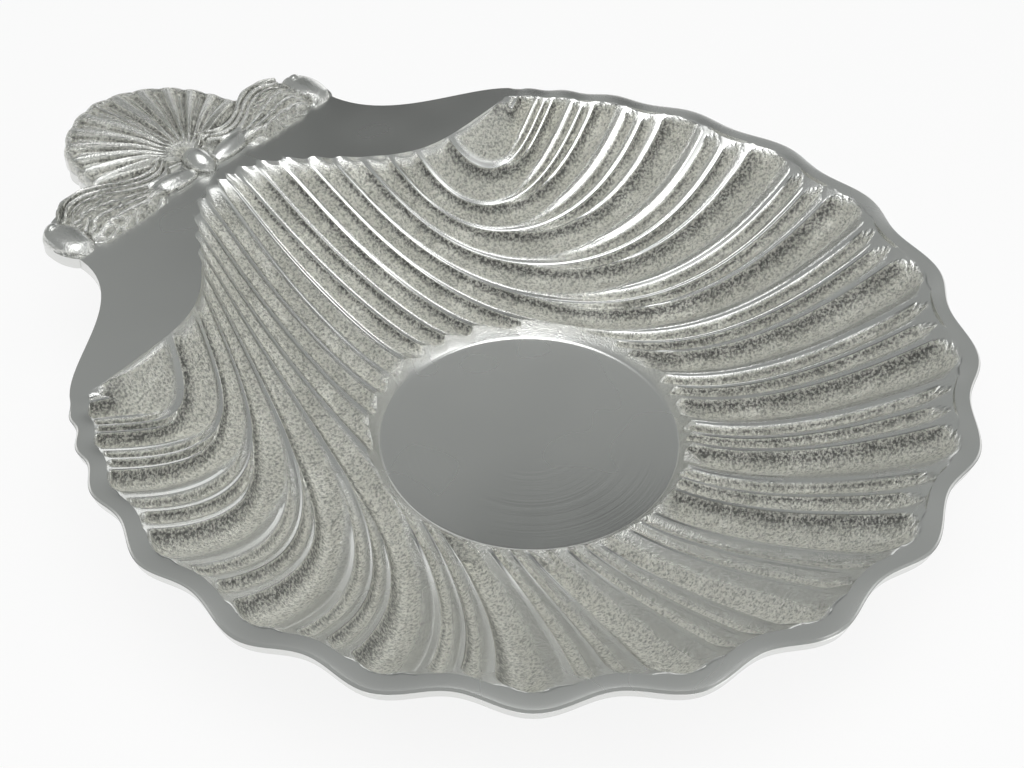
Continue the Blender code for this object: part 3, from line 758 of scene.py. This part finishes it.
def shell_handle():
    """The carved handle as one closed skin, set into the end of the hinge plate."""
    rows = np.concatenate([np.linspace(0.0, 0.80, 105), np.linspace(0.80, 0.86, 22)[1:],
                           [0.875, 0.90, 0.92, 0.96, 1.0]])
    return close_skin("shell_handle", [formed_sheet("handle", handle_turns(), rows, handle_form)])


def node(tree, kind, **values):
    """A node of a material, with its settings and plain values."""
    made = tree.nodes.new(kind)
    for name, value in values.items():
        if hasattr(made, name):
            setattr(made, name, value)
        else:
            made.inputs[name.replace("_", " ")].default_value = value
    return made


def math_node(tree, operation, first, second=0.0):
    """Output of one operation on two values or outputs."""
    made = tree.nodes.new("ShaderNodeMath")
    made.operation = operation
    for socket, value in zip(made.inputs, (first, second)):
        if isinstance(value, (int, float)):
            socket.default_value = value
        else:
            tree.links.new(value, socket)
    return made.outputs[0]


def ranged(tree, value, low, high, start, end):
    """The value moved from one range to another and held there."""
    made = node(tree, "ShaderNodeMapRange", interpolation_type="SMOOTHSTEP")
    tree.links.new(value, made.inputs["Value"])
    for name, number in (("From Min", low), ("From Max", high), ("To Min", start), ("To Max", end)):
        made.inputs[name].default_value = number
    return made.outputs["Result"]


def cast_aluminium():
    """Buffed aluminium on the high parts, bright cast grain in the flutes, painted shade at steep walls and
    deep lines, turned well floor.
    """
    metal = bpy.data.materials.new("cast_aluminium")
    metal.use_nodes = True
    tree = metal.node_tree
    shader = tree.nodes["Principled BSDF"]
    link = tree.links.new
    shader.inputs["Metallic"].default_value = 1.0

    where = node(tree, "ShaderNodeTexCoord").outputs["Object"]
    finish = node(tree, "ShaderNodeAttribute", attribute_name="grain").outputs["Fac"]
    grain = math_node(tree, "MINIMUM", finish, 1.0)
    # Painted shade: the part of the finish above 1, at steep walls and deep lines
    shade = math_node(tree, "MAXIMUM", math_node(tree, "SUBTRACT", finish, 1.0), 0.0)
    turned = node(tree, "ShaderNodeAttribute", attribute_name="turned").outputs["Fac"]

    # Patterns on the metal: fine grain, pits, rubbed places and a slow swell of the buffed faces
    coarse = node(tree, "ShaderNodeTexNoise", Scale=GRAIN_SCALE, Detail=5.0, Roughness=0.72)
    link(where, coarse.inputs["Vector"])
    pits = node(tree, "ShaderNodeTexVoronoi", Scale=PIT_SCALE)
    link(where, pits.inputs["Vector"])
    rubbed = node(tree, "ShaderNodeTexNoise", Scale=RUBBED_SCALE, Detail=4.0)
    link(where, rubbed.inputs["Vector"])
    swell = node(tree, "ShaderNodeTexNoise", Scale=SWELL_SCALE, Detail=1.0)
    link(where, swell.inputs["Vector"])

    # Relief of the cast grain over the swell
    pitted = math_node(tree, "MULTIPLY", pits.outputs["Distance"], 0.45)
    lumps = math_node(tree, "ADD", coarse.outputs["Fac"], pitted)
    patchy = ranged(tree, rubbed.outputs["Fac"], 0.30, 0.62, 0.62, 1.0)
    cast_skin = math_node(tree, "MULTIPLY", math_node(tree, "MULTIPLY", lumps, grain), patchy)
    skin_bump = node(tree, "ShaderNodeBump", Strength=1.0, Distance=GRAIN_BUMP)
    link(cast_skin, skin_bump.inputs["Height"])
    swell_bump = node(tree, "ShaderNodeBump", Strength=1.0, Distance=SWELL_BUMP)
    link(swell.outputs["Fac"], swell_bump.inputs["Height"])
    link(swell_bump.outputs["Normal"], skin_bump.inputs["Normal"])

    # Turning marks round the well's middle
    apart = node(tree, "ShaderNodeSeparateXYZ")
    link(where, apart.inputs["Vector"])
    across = math_node(tree, "MULTIPLY", apart.outputs["X"], apart.outputs["X"])
    along = math_node(tree, "MULTIPLY", apart.outputs["Y"], apart.outputs["Y"])
    reach = math_node(tree, "SQRT", math_node(tree, "ADD", across, along))
    rings = node(tree, "ShaderNodeTexNoise", noise_dimensions="1D", Scale=1.0, Detail=4.0, Roughness=0.7)
    link(math_node(tree, "MULTIPLY", reach, RING_SCALE), rings.inputs["W"])
    ring_bump = node(tree, "ShaderNodeBump", Strength=0.5, Distance=RING_BUMP)
    link(math_node(tree, "MULTIPLY", rings.outputs["Fac"], turned), ring_bump.inputs["Height"])
    link(skin_bump.outputs["Normal"], ring_bump.inputs["Normal"])
    link(ring_bump.outputs["Normal"], shader.inputs["Normal"])

    # Gloss: the buffed faces vary a little, the grain doesn't
    smear = ranged(tree, swell.outputs["Fac"], 0.3, 0.7, 0.24, 0.28)
    rough = node(tree, "ShaderNodeMix", data_type="FLOAT")
    link(grain, rough.inputs["Factor"])
    link(smear, rough.inputs["A"])
    rough.inputs["B"].default_value = GRAIN_ROUGHNESS
    link(rough.outputs["Result"], shader.inputs["Roughness"])

    # Colour: bright and dull specks in the grain, broken painted shade at the steep walls and in the
    # handle's deepest lines
    speck = ranged(tree, coarse.outputs["Fac"], 0.34, 0.58, 0.0, 1.0)
    skin_tone = node(tree, "ShaderNodeMix", data_type="RGBA")
    skin_tone.inputs["A"].default_value = GRAIN_LOW
    skin_tone.inputs["B"].default_value = GRAIN_HIGH
    link(speck, skin_tone.inputs["Factor"])
    tone = node(tree, "ShaderNodeMix", data_type="RGBA")
    tone.inputs["A"].default_value = BUFFED
    link(skin_tone.outputs["Result"], tone.inputs["B"])
    link(grain, tone.inputs["Factor"])
    dark = node(tree, "ShaderNodeMix", data_type="RGBA")
    dark.inputs["B"].default_value = PAINTED_SHADE
    link(tone.outputs["Result"], dark.inputs["A"])
    shade_breakup = ranged(tree, coarse.outputs["Fac"], 0.44, 0.58, 1.0, 0.35)
    link(math_node(tree, "MULTIPLY", shade, shade_breakup), dark.inputs["Factor"])
    link(dark.outputs["Result"], shader.inputs["Base Color"])
    return metal


def plain_floor():
    """White table that keeps the dish's shadow."""
    deselect()
    bpy.ops.mesh.primitive_plane_add(size=8.0, location=(0, 0, 0))
    table = bpy.context.object
    table.name = "table"
    white = bpy.data.materials.new("white_table")
    white.use_nodes = True
    tree = white.node_tree
    tree.nodes.clear()
    out = node(tree, "ShaderNodeOutputMaterial")
    paint = node(tree, "ShaderNodeBsdfDiffuse", Color=(0.85, 0.85, 0.85, 1.0))
    glow = node(tree, "ShaderNodeEmission", Color=(1, 1, 1, 1), Strength=1.0)
    rays = node(tree, "ShaderNodeLightPath")
    mirrored = math_node(tree, "MAXIMUM", rays.outputs["Is Glossy Ray"],
                         rays.outputs["Is Transmission Ray"])
    seen = math_node(tree, "MAXIMUM", rays.outputs["Is Camera Ray"], mirrored)
    share = math_node(tree, "MULTIPLY", seen, FLOOR_GLOW)
    mix = node(tree, "ShaderNodeMixShader")
    tree.links.new(share, mix.inputs["Fac"])
    tree.links.new(paint.outputs[0], mix.inputs[1])
    tree.links.new(glow.outputs[0], mix.inputs[2])
    tree.links.new(mix.outputs[0], out.inputs["Surface"])
    table.data.materials.append(white)


def studio_light():
    """Pale room with one dark doorway, a large soft lamp above the camera and two weak ones."""
    world = bpy.data.worlds.new("studio")
    bpy.context.scene.world = world
    world.use_nodes = True
    tree = world.node_tree
    sky = tree.nodes["Background"]
    look = node(tree, "ShaderNodeTexCoord").outputs["Generated"]
    apart = node(tree, "ShaderNodeSeparateXYZ")
    tree.links.new(look, apart.inputs["Vector"])
    height = ranged(tree, apart.outputs["Z"], 0.0, 0.6, 0.38, 0.34)
    toward = node(tree, "ShaderNodeVectorMath", operation="DOT_PRODUCT")
    tree.links.new(look, toward.inputs[0])
    toward.inputs[1].default_value = DARK_DOOR
    dark = ranged(tree, toward.outputs["Value"], 0.970, 0.997, 1.0, 0.18)
    tree.links.new(math_node(tree, "MULTIPLY", height, dark), sky.inputs["Strength"])
    sky.inputs["Color"].default_value = ROOM_COLOUR
    for name, place, size, power in LAMPS:
        lamp = bpy.data.lights.new(name, "AREA")
        lamp.shape = "SQUARE"
        lamp.size = size
        lamp.energy = power
        thing = bpy.data.objects.new(name, lamp)
        thing.location = place
        thing.rotation_euler = (LAMP_AIM - Vector(place)).to_track_quat("-Z", "Y").to_euler()
        bpy.context.scene.collection.objects.link(thing)


def camera():
    """The photograph's viewpoint."""
    lens = bpy.data.cameras.new("camera")
    lens.sensor_width = 36.0
    lens.lens = lens.sensor_width * FOCAL_PIXELS / PHOTO_WIDTH
    lens.clip_start = 0.01
    eye = bpy.data.objects.new("camera", lens)
    look = (CAMERA_TARGET - CAMERA_PLACE).to_track_quat("-Z", "Y").to_matrix().to_4x4()
    roll = Matrix.Rotation(math.radians(CAMERA_ROLL), 4, "Z")
    eye.matrix_world = Matrix.Translation(CAMERA_PLACE) @ look @ roll
    bpy.context.scene.collection.objects.link(eye)
    bpy.context.scene.camera = eye


camera()
metal = cast_aluminium()
for piece in (cast_dish(), shell_handle()):
    piece.data.materials.clear()
    piece.data.materials.append(metal)
    deselect()
    piece.select_set(True)
    bpy.context.view_layer.objects.active = piece
    bpy.ops.object.shade_smooth_by_angle(angle=math.radians(CREASE_ANGLE))
    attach(piece, "root")
    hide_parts("shell_dish")
plain_floor()
studio_light()
bpy.context.scene.view_settings.view_transform = "Standard"
